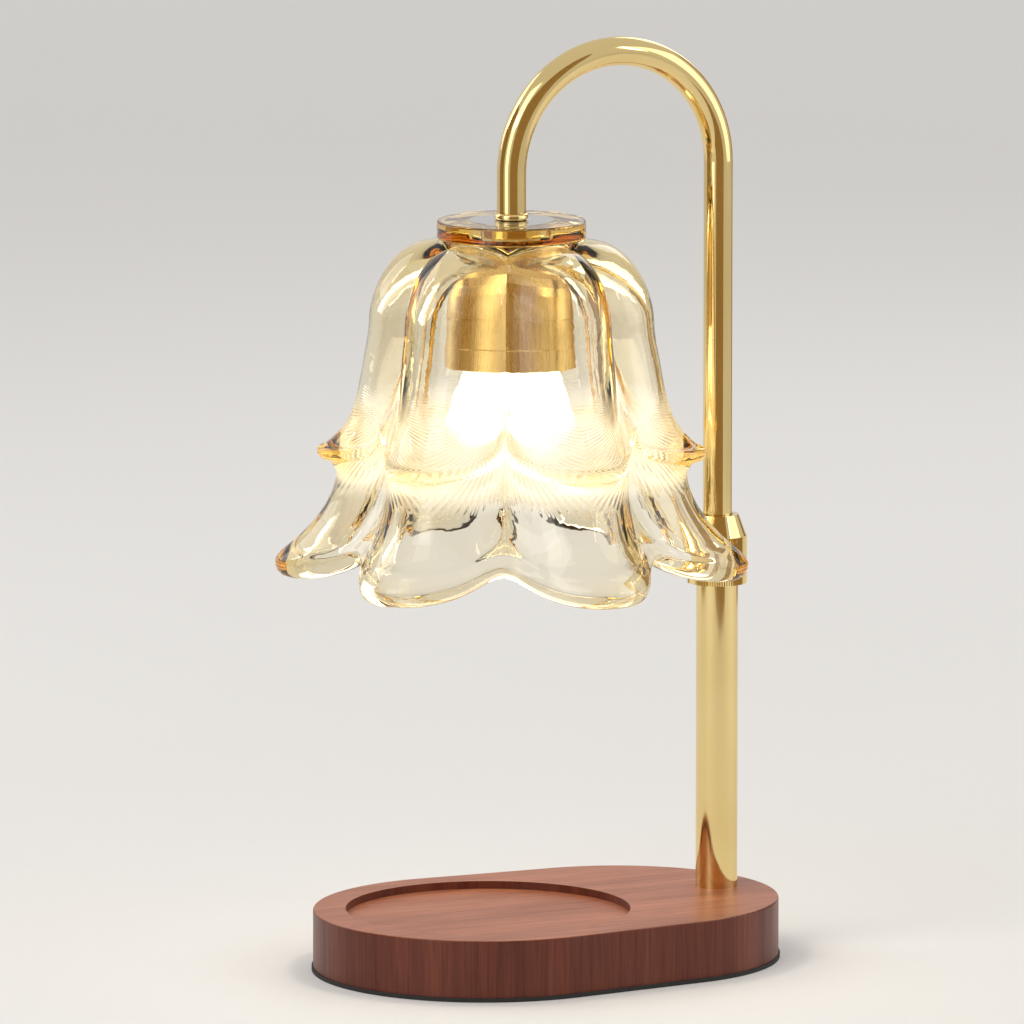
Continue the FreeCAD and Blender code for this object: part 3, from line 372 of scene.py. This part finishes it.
def board_wood():
    """Satin red-brown veneer: grain along the board on top, upright round its edge; the top is painted
    lighter, as if lit from above, and the edge darker, as painted shade.
    """
    finish = Finish("board_wood")
    facing = finish.node("ShaderNodeSeparateXYZ")
    finish.join(finish.node("ShaderNodeTexCoord").outputs["Normal"], facing.inputs["Vector"])
    top = finish.math("GREATER_THAN", facing.outputs["Z"], TOP_FACING)
    # how the grain and the pores are stretched, and the grain's dark, middle and light colours
    along_board = ((0.10, 1.0, 1.0), (0.04, 1.0, 1.0))
    upright = ((1.0, 1.0, 0.05), (1.0, 1.0, 0.03))
    # the top's colours are painted lighter and the edge's painted darker, for the light that falls on the
    # top and the shade on the upright edge; only the grain's run differs for real
    top_colours_painted_lit = ((0.25, 0.075, 0.034), (0.35, 0.115, 0.055), (0.44, 0.160, 0.080))
    side_colours_painted_shade = ((0.080, 0.017, 0.009), (0.13, 0.030, 0.015), (0.19, 0.052, 0.027))
    faces = []
    for (grain_stretch, pore_stretch), (dark, middle, light) in ((along_board, top_colours_painted_lit),
                                                                (upright, side_colours_painted_shade)):
        grain = finish.noise(scale=70, detail=6, roughness=0.6, stretch=grain_stretch, distortion=0.5)
        pores = finish.noise(scale=1000, detail=3, roughness=0.55, stretch=pore_stretch)
        tint = finish.ramp(grain, [(0.28, dark), (0.5, middle), (0.74, light)])
        lines = finish.ramp(pores, [(0.34, (0.62, 0.56, 0.53)), (0.55, (1.0, 1.0, 1.0))])
        faces.append((finish.mix(PORE_SHARE, tint, lines, "MULTIPLY"), pores, grain))
    (top_tint, top_pores, top_grain), (side_tint, side_pores, side_grain) = faces
    finish.join(finish.mix(top, side_tint, top_tint), finish.shader.inputs["Base Color"])
    pores = finish.mix(top, side_pores, top_pores)
    finish.roughness(pores, low=0.46, high=0.30)
    finish.set(Specular_IOR_Level=0.28)
    finish.bump(pores, height=0.06 * MM, strength=0.35)
    finish.bump(finish.mix(top, side_grain, top_grain), height=0.2 * MM, strength=0.15)
    return finish.material


def amber_glass():
    """Thick pressed glass: fire-polished outside, fanned fine ribs inside where "ribbed" is 1, and there
    a painted glow: emission that stands in for the lamp's light caught in the ribs.
    """
    finish = Finish("amber_glass")
    finish.set(Base_Color=(1, 1, 1, 1), Transmission_Weight=1.0, IOR=1.5)
    ribbed = finish.node("ShaderNodeAttribute", attribute_name="ribbed").outputs["Fac"]
    finish.roughness(ribbed, low=0.0, high=0.28)

    turn, height = finish.round_axis()
    across = finish.math("MULTIPLY", finish.math("PINGPONG", turn, PETAL_HALF_TURN), RIBS_FAN_RADIUS)
    below = finish.math("SUBTRACT", RIBS_FAN_HEIGHT, height)
    fan = finish.math("ARCTAN2", across, below)
    wave = finish.math("SINE", finish.math("MULTIPLY", fan, RIBS_PER_RADIAN))
    finish.bump(finish.math("MULTIPLY", wave, ribbed), height=0.2 * MM, strength=0.5)

    # painted glow: the ribbed band emits warm light, a little brighter on the rib crests, standing in for
    # the lamp's light scattered in the glass; the glass itself is no lamp
    crest = finish.math("MULTIPLY_ADD", wave, PAINTED_GLOW_WAVE, 1 - PAINTED_GLOW_WAVE)
    glow = finish.mix(finish.math("MULTIPLY", crest, ribbed), (0, 0, 0, 1), (*PAINTED_GLOW_COLOUR, 1))
    finish.join(glow, finish.shader.inputs["Emission Color"])
    finish.set(Emission_Strength=PAINTED_GLOW_STRENGTH)
    finish.material.cycles.emission_sampling = "NONE"
    finish.bump(finish.noise(scale=55, detail=3, roughness=0.45), height=0.6 * MM, strength=0.3)

    amber = finish.node("ShaderNodeVolumeAbsorption")
    amber.inputs["Color"].default_value = (*GLASS_COLOUR, 1)
    amber.inputs["Density"].default_value = GLASS_DENSITY
    finish.join(amber.outputs["Volume"], finish.output.inputs["Volume"])
    finish.clear_for_shadows((*GLASS_SHADOW_COLOUR, 1))
    return finish.material


def plain(name, colour, roughness, metallic=0.0, grain=400):
    """A quiet material: slight shade and gloss changes and a fine surface grain."""
    finish = Finish(name)
    finish.set(Metallic=metallic)
    specks = finish.noise(scale=grain, detail=4)
    darker, lighter = (shaded(colour, share) for share in (0.88, 1.08))
    tint = finish.ramp(specks, [(0.3, darker), (0.7, lighter)])
    finish.join(tint, finish.shader.inputs["Base Color"])
    finish.roughness(specks, low=roughness * 0.85, high=min(1.0, roughness * 1.15))
    finish.bump(specks, height=0.04 * MM, strength=0.4)
    return finish.material


def lit(name, colour, strength, rib_count):
    """A piece of the lamp that glows, a little less in the grooves between its ribs."""
    finish = Finish(name)
    finish.set(Base_Color=(0.95, 0.93, 0.88, 1), Roughness=0.2)
    turn, _ = finish.round_axis()
    wave = finish.math("SINE", finish.math("MULTIPLY", turn, float(rib_count)))
    ribs = finish.math("MULTIPLY_ADD", wave, 0.5, 0.5)
    glow = finish.ramp(ribs, [(0.0, shaded(colour, GROOVE_SHADE)), (0.5, colour)])
    finish.join(glow, finish.shader.inputs["Emission Color"])
    finish.set(Emission_Strength=strength)
    finish.bump(ribs, height=0.4 * MM, strength=0.6)
    return finish.material


FINISHES = {
    "board_wood": board_wood(),
    "pad_rubber": plain("pad_rubber", (0.018, 0.018, 0.018), 0.75, grain=1500),
    "plate_steel": plain("plate_steel", (0.55, 0.55, 0.56), 0.35, metallic=1.0),
    "black_plastic": plain("black_plastic", (0.03, 0.03, 0.03), 0.5, grain=1500),
    "gold_plate": gold_plate(),
    "satin_gold": satin_gold(),
    "bare_brass": plain("bare_brass", (0.72, 0.55, 0.28), 0.3, metallic=1.0),
    "white_nylon": plain("white_nylon", (0.80, 0.79, 0.75), 0.5),
    "clear_silicone": plain("clear_silicone", (0.80, 0.80, 0.78), 0.4),
    "amber_glass": amber_glass(),
    "holder_ceramic": plain("holder_ceramic", (0.84, 0.82, 0.77), 0.45),
    "cap_nickel": plain("cap_nickel", (0.62, 0.62, 0.63), 0.22, metallic=1.0, grain=900),
    "lamp_nickel": plain("lamp_nickel", (0.70, 0.70, 0.70), 0.25, metallic=1.0),
    "lamp_mirror": lit("lamp_mirror", (1.0, 0.90, 0.70), strength=2.6, rib_count=36),
    "lamp_glass": lit("lamp_glass", (1.0, 0.92, 0.76), strength=16.0, rib_count=48),
    "lead_cover": plain("lead_cover", (0.80, 0.78, 0.70), 0.5),
}


def dress_nodes():
    slots = {entry["node"]: entry["material_slot"] for entry in frame["record"]["subparts"]}
    for name, obj in nodes.items():
        obj.data.materials.clear()
        obj.data.materials.append(FINISHES[slots[name]])


# ---------------------------------------------------------------- pieces that refine a node
def step_between(value, low, high):
    """A smooth step from 0 at low to 1 at high."""
    share = min(1.0, max(0.0, (value - low) / (high - low)))
    return share * share * (3 - 2 * share)


def band_between(value, start, full, fade, end):
    """0 outside start and end, and 1 from full to fade."""
    return step_between(value, start, full) * (1 - step_between(value, fade, end))


def glass_body():
    """The shade with a mask, "ribbed", on its inner wall from the lamp's front down to the root ring; the
    mask places the fine ribs and the painted glow on them.
    """
    mesh = nodes["glass_shade"].data.copy()
    mesh.name = "glass_body"
    mask = mesh.attributes.new("ribbed", "FLOAT", "POINT")
    normals = mesh.vertex_normals
    for vertex in mesh.vertices:
        away = Vector((vertex.co.x - drop_x, vertex.co.y, 0)).normalized()
        inward = -normals[vertex.index].vector.dot(away)
        band = band_between(vertex.co.z, RIBS_START, RIBS_FULL, RIBS_FADE, RIBS_END)
        mask.data[vertex.index].value = step_between(inward, INWARD_NONE, INWARD_FULL) * band
    glass = bpy.data.objects.new("glass_body", mesh)
    scene.collection.objects.link(glass)
    mesh.materials.clear()
    mesh.materials.append(FINISHES["amber_glass"])
    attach(glass, "arm")
    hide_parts("glass_shade")


def lens_front():
    """The lamp's front glass: a shallow dome with radial ribs round a plain centre."""
    radius = (lens_high.x - lens_low.x) / 2
    bottom, top = lens_low.z, lens_high.z
    mesh = bmesh.new()
    rings = []
    for i in range(1, LENS_RINGS + 1):
        share = i / LENS_RINGS
        ribbed = band_between(share, LENS_RIBS_START, LENS_RIBS_FULL, LENS_RIBS_FADE, LENS_RIBS_END)
        ring = []
        for k in range(LENS_SEGMENTS):
            turn = 2 * math.pi * k / LENS_SEGMENTS
            wave = 0.5 + 0.5 * math.cos(LENS_RIBS * turn)
            height = bottom + LENS_DOME * share * share + LENS_RIB_RISE * wave * ribbed
            ring.append(mesh.verts.new((drop_x + radius * share * math.cos(turn),
                                        radius * share * math.sin(turn), height)))
        rings.append(ring)
    rings.append([mesh.verts.new((vertex.co.x, vertex.co.y, top)) for vertex in rings[-1]])
    for inner, outer in zip(rings, rings[1:]):
        for k in range(LENS_SEGMENTS):
            after = (k + 1) % LENS_SEGMENTS
            mesh.faces.new((inner[k], inner[after], outer[after], outer[k]))
    mesh.faces.new(rings[0])
    mesh.faces.new(list(reversed(rings[-1])))
    bmesh.ops.recalc_face_normals(mesh, faces=mesh.faces)
    data = bpy.data.meshes.new("lens_front")
    mesh.to_mesh(data)
    mesh.free()
    data.shade_smooth()
    data.materials.append(FINISHES["lamp_glass"])
    lens = bpy.data.objects.new("lens_front", data)
    scene.collection.objects.link(lens)
    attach(lens, "bulb")
    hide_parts("lamp_lens")


def slack_coil():
    """The lead's loose coil, whose lower end on the real lamp stays on the base while its top follows the
    slider: here a copy of the slack lead's mesh in its cover finish, standing in for that node.
    """
    mesh = nodes["slack_lead"].data.copy()
    mesh.name = "slack_coil"
    coil = bpy.data.objects.new("slack_coil", mesh)
    scene.collection.objects.link(coil)
    mesh.materials.clear()
    mesh.materials.append(FINISHES["lead_cover"])
    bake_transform(coil)
    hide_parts("slack_lead")


add_camera()
add_studio()
dress_nodes()
glass_body()
lens_front()
slack_coil()
